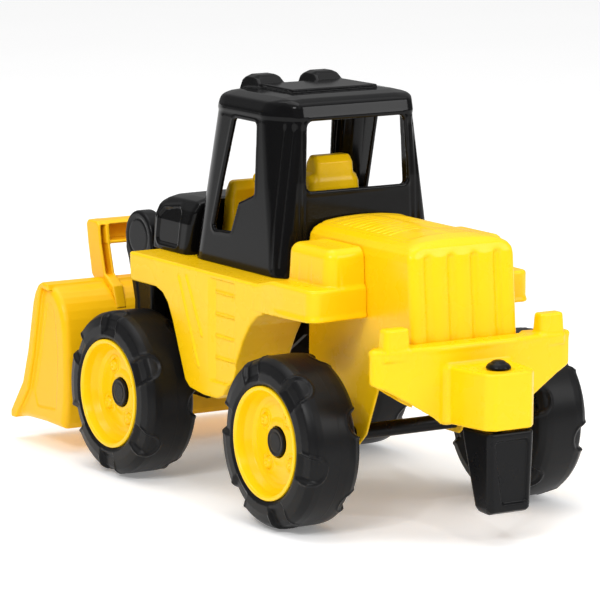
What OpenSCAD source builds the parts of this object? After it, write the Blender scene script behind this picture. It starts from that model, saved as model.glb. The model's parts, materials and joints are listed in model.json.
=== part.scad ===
// Toy wheel loader with a front bucket, moulded plastic, free rolling.
// +X points forward, +Y to the vehicle's left, +Z up. The origin is on the
// ground under the centre of the overall box. Inside the modules, X is
// measured from the rear axle, and rf() moves each piece into the row frame.

/* [Wheels] */
// Outside diameter of a tyre
tyre_d = 156; // [150:1:158]
// Width of a tyre over its sidewalls
tyre_w = 57; // [50:1:58]
// Diameter of the hub disc at its rim
hub_d = 102; // [94:1:104]
// Diameter of the push-on axle cap
cap_d = 26.4; // [20:0.2:30]
// Distance between the axles
wheelbase = 273; // [268:1:278]
// Width over the wheels
track_over = 300; // [296:1:310]
// Number of pockets on each tyre shoulder
groove_count = 6; // [5:1:8]

/* [Axles] */
// Diameter of the steel axle rods
rod_d = 7; // [5:0.5:8]
// Outside diameter of the axle sleeves
sleeve_d = 14; // [12:0.5:16]
// Running clearance of a wheel on its rod, on the radius
run_gap = 0.08; // [0.05:0.01:0.10]

/* [Body] */
// Wall thickness of the moulded shells
wall = 3; // [2.6:0.1:3.2]
// Half width over the side panels
side_y = 115; // [113:1:116]
// Half width over the rear fender skirts
skirt_y = 117; // [116:1:118]
// Half width of the engine hood
hood_y = 56; // [54:0.5:57]
// Height of the top of the engine hood
hood_top = 264; // [258:1:266]

/* [Cab] */
// Half width of the cab at the deck
cab_y0 = 84.5; // [83:0.5:85.5]
// Half width of the cab under the roof
cab_y1 = 70.5; // [69:0.5:72]
// Height of the roof panel
roof_z = 371; // [368:1:374]

/* [Loader] */
// Half width of the bucket
bucket_y = 141; // [120:1:144]
// Wall thickness of the bucket
bucket_t = 3.5; // [3:0.5:4]
// Thickness of a lift arm
arm_t = 17; // [15:0.5:18]
// Diameter of the lift arm pivot pin
arm_pin_d = 10; // [8:0.5:12]
// Diameter of the bucket pivot pin
bucket_pin_d = 8; // [7:0.5:9]

/* [Hitch] */
// Diameter of the vertical hitch pin
hitch_pin_d = 10; // [8:0.5:11]
// Diameter of the domed head of the hitch pin
hitch_head_d = 22.6; // [20:0.2:24]

/* [Hidden] */
$fn = 96;
deck_z = 207;  // deck that carries the cab
arm_y = 78;    // half width over the lift arms

yel = "gold";
blk = "dimgray";
met = "silver";
e = 0.05;
axle_z = tyre_d / 2;
tyre_y1 = track_over / 2;          // outer sidewall plane
tyre_y0 = tyre_y1 - tyre_w;        // inner sidewall plane
rim_r = hub_d / 2;
rod_r = rod_d / 2;
cap_face_y = tyre_y1 - 12.4;       // outer face of the axle cap
rear_x = -167;                     // rear face of the bumper platform
tip_x = 476;                       // lip of the bucket
shift_x = (rear_x + tip_x) / 2;    // rear axle to the centre of the box
pivot_x = 338; pivot_z = 211.5;    // lift arm pivot
hinge_x = 358; hinge_z = 80;       // bucket pivot
hitch_x = -143;
screw_at = [[165, 30], [165, -30], [225, 30], [225, -30]];

// From the rear-axle frame to the row frame
module rf() { translate([-shift_x, 0, 0]) children(); }

// Profile in the X-Z plane, spread from y = a to y = b
module slab_xz(pts, a, b) { translate([0, b, 0]) rotate([90, 0, 0]) linear_extrude(b - a) polygon(pts); }
// Profile in the Y-Z plane, spread from x = a to x = b
module slab_yz(pts, a, b) { translate([a, 0, 0]) rotate([90, 0, 90]) linear_extrude(b - a) polygon(pts); }
// Profile in the X-Y plane, spread from z = a to z = b
module slab_xy(pts, a, b) { translate([0, 0, a]) linear_extrude(b - a) polygon(pts); }
// Cylinder along +Y from y = a to y = b
module rod_y(x, z, r, a, b) { translate([x, a, z]) rotate([-90, 0, 0]) cylinder(h = b - a, r = r); }
module box(a, b) { translate(a) cube(b - a); }
module both() { children(); mirror([0, 1, 0]) children(); }
// A half profile in Y-Z, closed over to its mirror image
function sym(p) = concat(p, [for (i = [len(p) - 1 : -1 : 0]) [-p[i][0], p[i][1]]]);

// ---------------------------------------------------------------- body shell
// Outline of a side panel between the two wheel arches
panel_x0 = 60 + e;
side_pts = [[291, deck_z], [289, 180], [244, 180], [231, 176], [222, 168], [213, 152], [191, 101],
  [183, 95], [160, 92], [136, 92], [125, 97], [110, 114], [99, 137], [90, 153], [80, 167], [68, 177],
  [panel_x0, 179.5], [panel_x0, deck_z]];

module side_panel() {
  // side panel with its moulded step recess and two slanted ribs
  difference() {
    slab_xz(side_pts, side_y - wall, side_y);
    box([104, side_y - 0.8, 110], [150, side_y + 1, 203]);
  }
  for (z = [130, 150, 170, 190]) box([104.5, side_y - 1.2, z], [149.5, side_y - 0.2, z + 2]);
  slab_xz([[200, 193], [203, 193], [169, 119], [166, 119]], side_y - 0.2, side_y + 0.7);
  slab_xz([[187, 196], [190, 196], [163, 147], [160, 147]], side_y - 0.2, side_y + 0.7);
  // deck strip beside the cab, and its front return
  box([panel_x0, 66, deck_z - wall], [291, side_y - e, deck_z]);
  box([286, 66, 180.2], [289, side_y - e, deck_z - e]);
  // arch returns, turned in from the side panel
  slab_xz([[289, 180], [244, 180], [231, 176], [222, 168], [213, 152], [191, 101],
    [188.5, 102.5], [210.5, 153.5], [219.5, 170.5], [229.5, 179], [243.5, 183], [289, 183]], 78, side_y - e);
  slab_xz([[110, 114], [99, 137], [90, 153], [80, 167], [68, 177], [panel_x0, 179.5],
    [panel_x0, 182.6], [69, 180], [82, 169.5], [92.5, 155], [101.7, 138.5], [112.5, 115.5]], 78, side_y - e);
  // strap from the side panel in to the chassis rail
  box([140, 50.2, 120], [143, 66.2, 203.1]);
  box([140, 66, 120], [143, side_y - e, deck_z - wall + e]);
}
// Rear fender: skirt, rear wall and top, with a raised box that is open underneath
module fender() {
  slab_xz([[60, 182], [-26, 186], [-26, 210], [60, 210]], skirt_y - wall, skirt_y);
  box([-26, hood_y + 0.3, 186.2], [-23, skirt_y - e, 210 - e]);
  difference() {
    box([-26 + e, hood_y + 0.3, 207], [60 - e, skirt_y - e, 210]);
    box([-19, hood_y, 206], [47, 94, 211]);
  }
  box([53, 78, 182.5], [56, skirt_y - e, 207.5]);
  difference() {
    intersection() {
      slab_xz([[-22, 209], [-22, 238], [-17, 245], [-10, 247], [38, 247], [46, 244], [50, 236], [50, 209]], hood_y + 0.3, 97);
      slab_yz([[hood_y, 209], [97, 209], [97, 238], [94, 244], [88, 247], [hood_y, 247]], -30, 60);
    }
    intersection() {
      slab_xz([[-19, 200], [-19, 237], [-15, 242], [-9, 244], [37, 244], [44, 241], [47, 235], [47, 200]], hood_y - 3, 94);
      slab_yz([[hood_y - 3, 200], [94, 200], [94, 237], [92, 242], [87, 244], [hood_y - 3, 244]], -30, 60);
    }
  }
}
// Cross wall in front of the bonnet, notched over the chassis rails
module front_wall() color(yel) rf() difference() {
  box([286, -65.9, 190], [289, 65.9, deck_z - e]);
  both() box([280, 45, 180], [295, 51, 203.3]);
}

// ---------------------------------------------------------------- engine hood
module hood_form(d) {
  // d is the inset from the outer surface
  intersection() {
    slab_xz([[-94 + d, 60], [-94 + d, 150], [-93.5 + d, 172], [-87 + d, 243], [-84 + d, 252 - d / 2],
      [-78 + d, 258 - d], [-60, hood_top - d], [40, hood_top - 2 - d], [75 - d, 258 - d], [75 - d, 60]], -70, 70);
    slab_yz(sym([[hood_y - d, 60], [hood_y - d, 238], [hood_y - 2 - d, 245], [hood_y - 7 - d, 251 - d],
      [hood_y - 15 - d, 254.5 - d], [hood_y - 20 - d, hood_top + 1 - d]]), -120, 120);
  }
}
module engine_hood() color(yel) rf() {
  difference() {
    hood_form(0);
    difference() {
      hood_form(wall);
      // thicker roof edge kept above the louvres
      box([-60, -34, 256], [40, 34, 262]);
    }
    // everything below the hood's lower edge; the hangers reach the rear axle
    slab_xz([[-120, 50], [-120, 150], [-80, 140], [-38, 124], [-17, 70], [-17, 50]], -70, 70);
    slab_xz([[17, 50], [17, 70], [42, 132], [90, 150], [90, 50]], -70, 70);
    box([-30, -70, 50], [30, 70, 67]);
    // louvre grooves in the top
    for (i = [0 : 9]) both() box([-31 + i * 9, 6, hood_top - 2.2], [-28.5 + i * 9, 32, hood_top + 5]);
    // flutes down the rear face
    for (y = [-36.6, -12.2, 12.2, 36.6]) translate([-97.5, y, 150]) rotate([0, 5.1, 0]) cylinder(h = 100, r = 5);
    rod_y(0, axle_z, sleeve_d / 2 + e, -70, 70);
    // window in the front wall where the cab floor meets the hood
    box([60, -51, 150], [80, 51, 240]);
  }
}

// ---------------------------------------------------------------- rear bumper
module rear_bumper() color(yel) rf() {
  difference() {
    union() {
      // wings and ledge under the hood
      intersection() {
        slab_xy(concat([[-80, 58.5]], [[-88, 109], [-103, 109], [-106, 94], [-111, 68], [-114, 41]],
          [[-114, -41], [-111, -68], [-106, -94], [-103, -109], [-88, -109], [-80, -58.5]]), 100, 172);
        slab_yz(concat([[112, 173], [112, 144], [90, 135], [68, 122.5], [45, 109], [40, 103]],
          [[-40, 103], [-45, 109], [-68, 122.5], [-90, 135], [-112, 144], [-112, 173]]), -170, 0);
      }
      // platform over the hitch
      slab_xy([[-113, 40], [-135, 34], [-162, 26], [-167, 20], [-167, -20], [-162, -26], [-135, -34], [-113, -40]], 103, 153);
    }
    // hollow underside
    intersection() {
      slab_xy([[-83, 52], [-91, 106], [-100.5, 106], [-103, 93], [-108, 67], [-111, 38],
        [-111, -38], [-108, -67], [-103, -93], [-100.5, -106], [-91, -106], [-83, -52]], 90, 169);
      union() {
        slab_yz([[106, 169], [106, 100], [-106, 100], [-106, 169]], -170, 0);
      }
    }
    difference() {
      slab_xy([[-108, 36], [-134, 31], [-160, 23.5], [-164, 18.5], [-164, -18.5], [-160, -23.5], [-134, -31], [-108, -36]], 90, 150);
      translate([hitch_x, 0, 90]) cylinder(h = 70, r = hitch_pin_d / 2 + 3.6);
      box([-145, -32, 120], [-141, 32, 151]);
    }
    translate([hitch_x, 0, 80]) cylinder(h = 90, r = hitch_pin_d / 2 + 0.1);
    // shallow seat round the pin head
    translate([hitch_x, 0, 152.5]) cylinder(h = 5, r = hitch_head_d / 2 + 1.7);
    // room for the lower end of the hood
    box([-94.4, -56.3, 138], [-70, 56.3, 180]);
  }
  both() {
    // post on the wing
    intersection() {
      slab_xz([[-109, 170], [-108, 186], [-106, 188.5], [-100, 188.5], [-97, 186], [-96, 170]], 71, 94);
      slab_yz([[71, 170], [73, 187], [76, 189], [89, 189], [92, 187], [94, 170]], -110, -95);
    }
    // tab that joins the wing to the hood wall
    box([-84, hood_y + e, 146], [-81, 62, 171]);
  }
}

// ---------------------------------------------------------------- chassis
module chassis_frame() color(blk) rf() {
  both() {
    // rail with the front axle carrier
    difference() {
      slab_xz([[60, 158], [60, 203], [305, 203], [305, 110], [288, 66], [258, 66], [240, 112], [150, 112], [90, 152]], 46, 50);
      rod_y(wheelbase, axle_z, sleeve_d / 2 + e, 40, 60);
    }
    // ear of the arm tower
    difference() {
      union() {
        slab_xz([[305 - e, 110], [305 - e, 203], [318, 222], [350, 226], [359, 200], [356, 150], [340, 110]], 46, 58);
        rod_y(pivot_x, pivot_z, 21, 46, 58);
      }
      rod_y(pivot_x, pivot_z, arm_pin_d / 2 + e, 40, 62);
    }
  }
  // belly plate and cross walls
  difference() {
    box([150, -46 - e, 112], [240, 46 + e, 116]);
    for (p = screw_at) translate([p[0], p[1], 110]) cylinder(h = 10, r = 1.8);
  }
  box([237, -46 - e, 112], [241, 46 + e, 203]);
  box([300, -46 - e, 112], [304, 46 + e, 203]);
  box([336, -46 - e, 112], [340, 46 + e, 180]);
  box([150, -46 - e, 112], [154, 46 + e, 203]);
}

// ---------------------------------------------------------------- cab
cab_side = [[76, deck_z + e], [78.5, 292], [82.5, 341], [84, 354], [89, 363], [98, 368], [116, 370], [192, 366], [201, 361],
  [206, 351], [222, 277], [238, deck_z + e]];
module cab_form(d) {
  intersection() {
    slab_xz([[76 + d, deck_z - 10], [78.5 + d, 292], [82.5 + d, 341], [84 + d, 354 - d / 2], [89 + d, 363 - d], [98, 368 - d],
      [116, 370 - d], [192, 366 - d], [201 - d / 2, 361 - d], [206 - d, 351 - d / 2], [222 - d, 277], [238 - d, deck_z - 10]], -100, 100);
    slab_yz(sym([[cab_y0 + 1.3 - d, deck_z - 10], [cab_y1 - d, 348], [cab_y1 - 2 - d, 357], [cab_y1 - 7 - d, 364 - d],
      [cab_y1 - 16 - d, 368.5 - d], [cab_y1 - 24 - d, 370 - d]]), 0, 300);
  }
}
module cab() color(blk) rf() {
  difference() {
    union() {
      cab_form(0);
      // raised roof panel
      slab_xy([[118, -45], [188, -42], [188, 42], [118, 45]], 364, roof_z + 1);
      // lamp pods on the front of the roof
      both() intersection() {
        slab_xz([[177, 360], [179, 376], [183, 379], [197, 379], [203, 374], [206, 358]], 15, 47);
        slab_yz([[15.5, 358], [20, 376], [24, 379.5], [38, 379.5], [43, 376], [46.5, 358]], 170, 210);
      }
    }
    cab_form(wall);
    box([50, -120, 180], [300, 120, deck_z]);
    // side windows
    slab_xz([[174, 343], [138, 343], [131, 278], [156, 268], [165, 240], [196, 238]], -120, 120);
    // rear window
    slab_yz([[52, 285], [54, 291], [51, 340], [45, 346], [-45, 346], [-51, 340], [-54, 291], [-52, 285]], 60, 130);
    // windscreen
    slab_yz([[62, 262], [56, 340], [50, 345], [-50, 345], [-56, 340], [-62, 262]], 190, 260);
  }
}

module front_bonnet() color(blk) rf() {
  difference() {
    intersection() {
      slab_xz([[241, deck_z + e], [229, 258], [236, 262], [280, 255], [296, 248], [302, 236], [303, deck_z + e]], -90, 90);
      slab_yz(sym([[84, deck_z], [81, 240], [78, 252], [70, 259], [56, 262]]), 200, 320);
    }
    intersection() {
      slab_xz([[244.5, deck_z - 5], [233, 255], [238, 259], [279, 252], [293.5, 246], [299, 235], [300, deck_z - 5]], -90, 90);
      slab_yz(sym([[81, deck_z - 5], [78, 240], [75, 250.5], [68, 256.5], [56, 259]]), 200, 320);
    }
    // recessed side panels
    both() slab_xz([[256, 214], [253, 245], [257, 250], [286, 244], [290, 238], [291, 214]], 81.4, 90);
  }
}

// ---------------------------------------------------------------- interior
module interior_floor() color(yel) rf() {
  difference() {
    union() {
      box([80, -65.8, 203.2], [234, 65.8, 206.8]);
      // screw posts down to the belly plate
      for (p = screw_at) translate([p[0], p[1], 116.1]) cylinder(h = 88, r = 5);
    }
    for (p = screw_at) translate([p[0], p[1], 110]) cylinder(h = 14, r = 1.65);
  }
}
module seat() color(yel) rf() {
  // cushion, backrest and headrest in one moulding
  slab_xz([[112, 206.8 + e], [112, 232], [116, 292], [134, 292], [141, 246], [170, 246], [174, 240], [174, 206.8 + e]], -27, 27);
  slab_xz([[117, 291], [118, 304], [122, 308.5], [130, 308.5], [134, 303], [133, 291]], -20, 20);
}
module dashboard() color(yel) rf() {
  slab_xz([[196, 206.8 + e], [206, 236], [206, 262], [203, 270], [205, 278], [212, 278], [218, 270], [230, 206.8 + e]], -56, 56);
}
module control_lever() color(yel) rf() {
  slab_xz([[184, 206.8 + e], [186, 236], [191, 262], [193, 283], [195.5, 285], [198, 283], [199, 262], [200, 236], [195.5, 206.8 + e]], 32, 38);
}

// ---------------------------------------------------------------- axles and caps
module sleeve(x) { difference() { rod_y(x, axle_z, sleeve_d / 2, -tyre_y0 + 2, tyre_y0 - 2); rod_y(x, axle_z, rod_r + e, -tyre_y0, tyre_y0); } }
module axle_rod(x) { rod_y(x, axle_z, rod_r, -cap_face_y + 2, cap_face_y - 2); }
module axle_cap(x, s) {
  mirror([0, s < 0 ? 1 : 0, 0]) difference() {
    rod_y(x, axle_z, cap_d / 2, cap_face_y - 7, cap_face_y);
    rod_y(x, axle_z, rod_r, cap_face_y - 8, cap_face_y - 2);
  }
}

// ---------------------------------------------------------------- wheels
// Hollow tyre: radius along X of the profile, distance from the centre plane up
module tyre_body() {
  w = tyre_w; R = tyre_d / 2;
  difference() {
    rotate_extrude() difference() {
      polygon([[10.4, 0], [24, 0], [26, 3], [44, 3], [R - 14, 0], [R - 5, 3], [R, 9], [R, w - 16], [R - 6, w - 5], [R - 17, w - 1],
        [rim_r + 3, w], [rim_r + 0.3, w - 2], [rim_r + 0.3, 12], [44, 6], [24, 6], [22, 3.5], [10.4, 3.5]]);
      polygon([[rim_r + 0.2, 14], [R - 14, 4], [R - 7, 6.5], [R - 4, 10], [R - 4, w - 17.5], [R - 9, w - 8.5], [R - 18, w - 5],
        [rim_r + 4.5, w - 4.5], [rim_r + 3.6, w - 8], [rim_r + 3.6, 20], [rim_r + 0.2, 20]]);
    }
    // pockets across the shoulders, staggered between the two sides
    for (i = [0 : groove_count - 1]) {
      rotate([0, 0, i * 360 / groove_count]) translate([R - 2, -10, w - 18]) cube([6, 20, 30]);
      rotate([0, 0, (i + 0.5) * 360 / groove_count]) translate([R - 2, -10, -5]) cube([6, 20, 20]);
    }
  }
}
module hub_body() {
  w = tyre_w;
  difference() {
    union() {
      rotate_extrude() polygon([[rod_r + run_gap, 1], [10.2, 1], [10.2, 30], [26, 36], [rim_r - 6, 36], [rim_r - 4, 22], [rim_r, 22],
        [rim_r, w - 0.5], [rim_r - 4, w - 0.5], [rim_r - 7, 41.5], [20, 39.5], [15.5, 41.5], [cap_d / 2 + 0.6, 41.5],
        [cap_d / 2 + 0.6, w - 20.2], [rod_r + run_gap, w - 20.2]]);
      for (i = [0 : 3]) rotate([0, 0, i * 90 - 28]) translate([27, 0, 38]) cylinder(h = 6, r = 4.6);
    }
    for (i = [0 : 3]) rotate([0, 0, i * 90 - 28]) translate([27, 0, 42.8]) cylinder(h = 3, r = 2.2);
  }
}
module place_wheel(x, s) {
  turn = x > 0 ? -32 : -10;   // how far each wheel has rolled
  mirror([0, s < 0 ? 1 : 0, 0]) translate([x, tyre_y0, axle_z]) rotate([-90, 0, 0]) rotate([0, 0, turn]) children();
}

// ---------------------------------------------------------------- loader
arm_pts = [[314, 204], [311, 150], [314, 128], [326, 104], [346, 76], [358, 68], [367, 74], [369, 85], [360, 96], [346, 118],
  [345, 150], [360, 200]];
module lift_arm() {
  difference() {
    union() {
      slab_xz(arm_pts, arm_y - arm_t, arm_y);
      rod_y(pivot_x, pivot_z, 25, arm_y - arm_t, arm_y);
      rod_y(hinge_x, hinge_z, 12, arm_y - arm_t, arm_y);
    }
    rod_y(pivot_x, pivot_z, arm_pin_d / 2 + run_gap, arm_y - arm_t - 1, arm_y - 5);
    rod_y(hinge_x, hinge_z, bucket_pin_d / 2 + e, arm_y - arm_t - 1, arm_y - 4);
    // moulded recess in the outer face
    slab_xz([[317, 190], [316, 150], [320, 130], [332, 110], [340, 116], [339, 150], [346, 186]], arm_y - 1.5, arm_y + 1);
  }
}
module arm_cross_beam() color(blk) rf() {
  // plain tube between the two arms, in front of the tower
  rod_y(341, 99, 7, -(arm_y - arm_t), arm_y - arm_t);
}
bk_out = [[381, 24], [420, 25], [452, 24], [tip_x, 21.5], [474, 26], [447, 58], [436, 92], [423, 151], [421, 160], [415, 160],
  [396, 156], [384, 146], [376, 126], [373, 100], [373, 60], [376, 38]];
bk_in = [[384, 27.5], [420, 28.5], [480, 26], [447, 58], [436, 92], [423, 151], [421, 156.4], [415, 156.4],
  [398, 152.8], [387, 144], [379.4, 125], [376.5, 100], [376.5, 60], [379.4, 39]];
module bucket() color(yel) rf() {
  difference() {
    union() {
      slab_xz(bk_out, -bucket_y + 4, bucket_y - 4);
      // rolled rim round the open side
      slab_xz([[412, 158], [413, 163], [424, 163], [427, 152], [440, 93], [451, 59], [tip_x, 27], [tip_x, 21.5], [470, 22],
        [443, 54], [431, 90], [418, 148]], -bucket_y, bucket_y);
    }
    slab_xz(concat([[384, 27.5], [420, 28.5], [485, 26]], [[485, 180], [440, 156.4], [415, 156.4], [398, 152.8], [387, 144], [379.4, 125],
      [376.5, 100], [376.5, 60], [379.4, 39]]), -bucket_y + 4 + bucket_t, bucket_y - 4 - bucket_t);
  }
  // lugs on the back
  both() difference() {
    union() {
      slab_xz([[hinge_x, hinge_z - 11], [376, 50], [376, 118], [hinge_x, hinge_z + 11]], 50, 59);
      rod_y(hinge_x, hinge_z, 11, 50, 59);
    }
    rod_y(hinge_x, hinge_z, bucket_pin_d / 2 + run_gap, 49, 60);
  }
}
module bucket_hoop() color(yel) rf() {
  both() difference() {
    // post, a channel open to the rear
    slab_xz([[376.5, 128.5], [383.7, 146.4], [395.8, 156.4], [411, 159.7], [411.8, 163.2], [427, 163.2], [434, 194], [437, 213],
      [434, 216], [418, 216], [413, 213], [410, 194], [402, 166], [386, 158]], 66, 78);
    slab_xz([[392, 168], [404, 196], [407, 212.5], [430.5, 212.5], [430.5, 197], [423, 168]], 69, 75);
  }
  // cross bar, a channel open to the rear
  difference() {
    slab_xz([[410.3, 194], [413, 213], [418, 216], [434, 216], [437, 213], [434, 194]], -66 - e, 66 + e);
    slab_xz([[400, 197], [404, 212.5], [430.5, 212.5], [430.5, 197]], -66.5, 66.5);
  }
}

// ---------------------------------------------------------------- hitch
module hitch_block() color(blk) rf() {
  difference() {
    intersection() {
      slab_xz([[-165, 102.5], [-120, 102.5], [-123, 90], [-139, 33], [-143, 28.5], [-160, 27], [-163.5, 31]], -30, 30);
      slab_yz(sym([[22, 27], [24, 90], [24, 102.5]]), -170, -110);
    }
    // hollow, open underneath
    intersection() {
      slab_xz([[-162, 88], [-127, 88], [-141.5, 36], [-142, 20], [-160.5, 20]], -30, 30);
      slab_yz(sym([[19, 20], [21, 80], [21, 88]]), -170, -110);
    }
    // recessed rear panel
    slab_yz([[-16, 40], [10, 40], [17, 92], [-18, 92]], -170, -163.6);
    translate([hitch_x, 0, 80]) cylinder(h = 30, r = hitch_pin_d / 2);
  }
}
module hitch_pin() color(blk) rf() {
  translate([hitch_x, 0, 86]) cylinder(h = 68, r = hitch_pin_d / 2);
  // domed head resting on the platform
  translate([hitch_x, 0, 153.3]) intersection() {
    translate([0, 0, -5.2]) sphere(r = 13);
    cylinder(h = 20, r = hitch_head_d / 2);
  }
}

// Self-tapping screws, head under the belly plate or the rail, all alike
module body_screws() color(met) rf() {
  for (p = screw_at) translate([p[0], p[1], 109.9]) {
    cylinder(h = 2.1, r = 4);
    cylinder(h = 12, r = 1.6);
  }
}

color(yel) rf() side_panel();  // side_panel_left
color(yel) rf() mirror([0, 1, 0]) side_panel();  // side_panel_right
color(yel) rf() fender();  // fender_left
color(yel) rf() mirror([0, 1, 0]) fender();  // fender_right
front_wall();
engine_hood();
rear_bumper();
chassis_frame();
cab();
front_bonnet();
interior_floor();
seat();
dashboard();
control_lever();
color(blk) rf() sleeve(wheelbase);  // front_axle_sleeve
color(blk) rf() sleeve(0);  // rear_axle_sleeve
color(met) rf() axle_rod(wheelbase);  // front_axle_rod
color(met) rf() axle_rod(0);  // rear_axle_rod
color(blk) rf() axle_cap(wheelbase, 1);  // cap_front_left
color(blk) rf() axle_cap(wheelbase, -1);  // cap_front_right
color(blk) rf() axle_cap(0, 1);  // cap_rear_left
color(blk) rf() axle_cap(0, -1);  // cap_rear_right
color(blk) rf() place_wheel(wheelbase, 1) tyre_body();  // tyre_front_left
color(blk) rf() place_wheel(wheelbase, -1) tyre_body();  // tyre_front_right
color(blk) rf() place_wheel(0, 1) tyre_body();  // tyre_rear_left
color(blk) rf() place_wheel(0, -1) tyre_body();  // tyre_rear_right
color(yel) rf() place_wheel(wheelbase, 1) hub_body();  // hub_front_left
color(yel) rf() place_wheel(wheelbase, -1) hub_body();  // hub_front_right
color(yel) rf() place_wheel(0, 1) hub_body();  // hub_rear_left
color(yel) rf() place_wheel(0, -1) hub_body();  // hub_rear_right
color(blk) rf() lift_arm();  // lift_arm_left
color(blk) rf() mirror([0, 1, 0]) lift_arm();  // lift_arm_right
arm_cross_beam();
color(met) rf() rod_y(pivot_x, pivot_z, arm_pin_d / 2, -(arm_y - 6), arm_y - 6);  // arm_pivot_pin
bucket();
bucket_hoop();
color(met) rf() rod_y(hinge_x, hinge_z, bucket_pin_d / 2, -(arm_y - 5), arm_y - 5);  // bucket_pivot_pin
hitch_block();
hitch_pin();
body_screws();
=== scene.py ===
import json
import math

import bpy
import numpy as np
from mathutils import Matrix, Vector


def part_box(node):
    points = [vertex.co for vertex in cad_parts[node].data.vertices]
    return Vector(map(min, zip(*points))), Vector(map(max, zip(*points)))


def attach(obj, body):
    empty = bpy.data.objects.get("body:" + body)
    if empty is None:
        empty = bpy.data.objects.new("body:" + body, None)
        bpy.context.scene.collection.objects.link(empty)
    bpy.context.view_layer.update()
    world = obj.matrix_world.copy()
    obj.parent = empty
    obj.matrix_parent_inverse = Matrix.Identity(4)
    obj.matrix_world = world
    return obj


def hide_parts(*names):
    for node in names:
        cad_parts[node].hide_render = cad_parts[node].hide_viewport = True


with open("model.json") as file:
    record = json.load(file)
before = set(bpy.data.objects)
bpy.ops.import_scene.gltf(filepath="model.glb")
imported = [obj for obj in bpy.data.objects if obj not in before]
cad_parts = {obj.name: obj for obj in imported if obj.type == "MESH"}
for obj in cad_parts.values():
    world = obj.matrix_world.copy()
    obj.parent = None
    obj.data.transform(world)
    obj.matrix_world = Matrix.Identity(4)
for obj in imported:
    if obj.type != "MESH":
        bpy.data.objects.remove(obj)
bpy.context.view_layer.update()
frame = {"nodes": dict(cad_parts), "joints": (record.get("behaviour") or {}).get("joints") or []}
NODES = frame["nodes"]

# ------------------------------------------------------------------ datums from the CAD frame (mm)
# Shapes are written in the vehicle's own frame: x from the rear axle, y from the centre plane, z from the ground.
_rl, _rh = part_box("rear_axle_rod")
_fl, _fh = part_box("front_axle_rod")
SX = -500.0 * (_rl.x + _rh.x)                     # rear axle to the row origin
WB = 500.0 * (_fl.x + _fh.x) + SX                 # wheelbase
AZ = 500.0 * (_rl.z + _rh.z)                      # axle height
_tl, _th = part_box("tyre_rear_left")
TY0, TY1 = 1000.0 * _tl.y, 1000.0 * _th.y         # inner and outer sidewall planes
TR = 500.0 * (_th.z - _tl.z)                      # tyre radius
_hl, _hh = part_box("hub_rear_left")
HR = 500.0 * (_hh.z - _hl.z)                      # hub rim radius
_cl, _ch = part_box("cap_rear_left")
CAPR, CAPY = 500.0 * (_ch.z - _cl.z), 1000.0 * _ch.y
_jx = {j["name"]: j for j in frame["joints"]}
PIVX = 1000.0 * _jx["boom_lift"]["pos_m"][0] + SX
PIVZ = 1000.0 * _jx["boom_lift"]["pos_m"][2]
HGX = 1000.0 * _jx["bucket_tilt"]["pos_m"][0] + SX
HGZ = 1000.0 * _jx["bucket_tilt"]["pos_m"][2]
HITX = 1000.0 * _jx["hitch_swivel"]["pos_m"][0] + SX

F = np.float32


# ------------------------------------------------------------------ signed distance helpers
def inset(pts, r):
    """The polygon moved inwards by r, corner by corner."""
    p = np.array(pts, float)
    n = len(p)
    area = 0.5 * sum(p[i][0] * p[(i + 1) % n][1] - p[(i + 1) % n][0] * p[i][1] for i in range(n))
    s = 1.0 if area > 0 else -1.0
    out = []
    for i in range(n):
        a, b, c = p[i - 1], p[i], p[(i + 1) % n]
        u = (b - a) / np.linalg.norm(b - a)
        v = (c - b) / np.linalg.norm(c - b)
        nu, nv = s * np.array([-u[1], u[0]]), s * np.array([-v[1], v[0]])
        k = 1.0 + float(nu @ nv)
        out.append(b + (nu + nv) * (r / max(k, 0.35)))
    return out


def poly(pts, x, y):
    """Exact signed distance to a polygon, negative inside."""
    n = len(pts)
    d = np.full(x.shape, 1e12, F)
    inside = np.zeros(x.shape, bool)
    for i in range(n):
        ax, ay = float(pts[i][0]), float(pts[i][1])
        bx, by = float(pts[(i + 1) % n][0]), float(pts[(i + 1) % n][1])
        ex, ey = bx - ax, by - ay
        wx, wy = x - F(ax), y - F(ay)
        t = np.clip((wx * F(ex) + wy * F(ey)) / F(ex * ex + ey * ey), 0, 1)
        dx, dy = wx - F(ex) * t, wy - F(ey) * t
        d = np.minimum(d, dx * dx + dy * dy)
        if abs(ey) > 1e-9:
            c = (F(ay) <= y) != (F(by) <= y)
            inside ^= c & (wx < wy * F(ex / ey))
    d = np.sqrt(d)
    return np.where(inside, -d, d).astype(F)


def polyr(pts, x, y, r):
    return poly(inset(pts, r), x, y) - F(r)


def rint(a, b, r):
    return np.minimum(-r, np.maximum(a, b)) + np.sqrt(np.maximum(a + r, 0) ** 2 + np.maximum(b + r, 0) ** 2)


def runi(a, b, r):
    return np.maximum(r, np.minimum(a, b)) - np.sqrt(np.maximum(r - a, 0) ** 2 + np.maximum(r - b, 0) ** 2)


def rdif(a, b, r):
    return rint(a, -b, r)


def slab(v, a, b):
    return np.abs(v - F((a + b) / 2)) - F((b - a) / 2)


def rbox(x, y, z, a, b, r):
    c = [(a[i] + b[i]) / 2 for i in range(3)]
    q = [np.abs(v - F(c[i])) - F((b[i] - a[i]) / 2 - r) for i, v in enumerate((x, y, z))]
    out = np.sqrt(sum(np.maximum(k, 0) ** 2 for k in q))
    return out + np.minimum(np.maximum(np.maximum(q[0], q[1]), q[2]), 0) - F(r)


def cyl_y(x, y, z, cx, cz, r, y0, y1, e):
    return rint(np.hypot(x - F(cx), z - F(cz)) - F(r), slab(y, y0, y1), e)


def seg(x, z, a, b):
    """Distance in a plane to a segment."""
    ex, ez = b[0] - a[0], b[1] - a[1]
    wx, wz = x - F(a[0]), z - F(a[1])
    t = np.clip((wx * F(ex) + wz * F(ez)) / F(ex * ex + ez * ez), 0, 1)
    return np.hypot(wx - F(ex) * t, wz - F(ez) * t)


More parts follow.
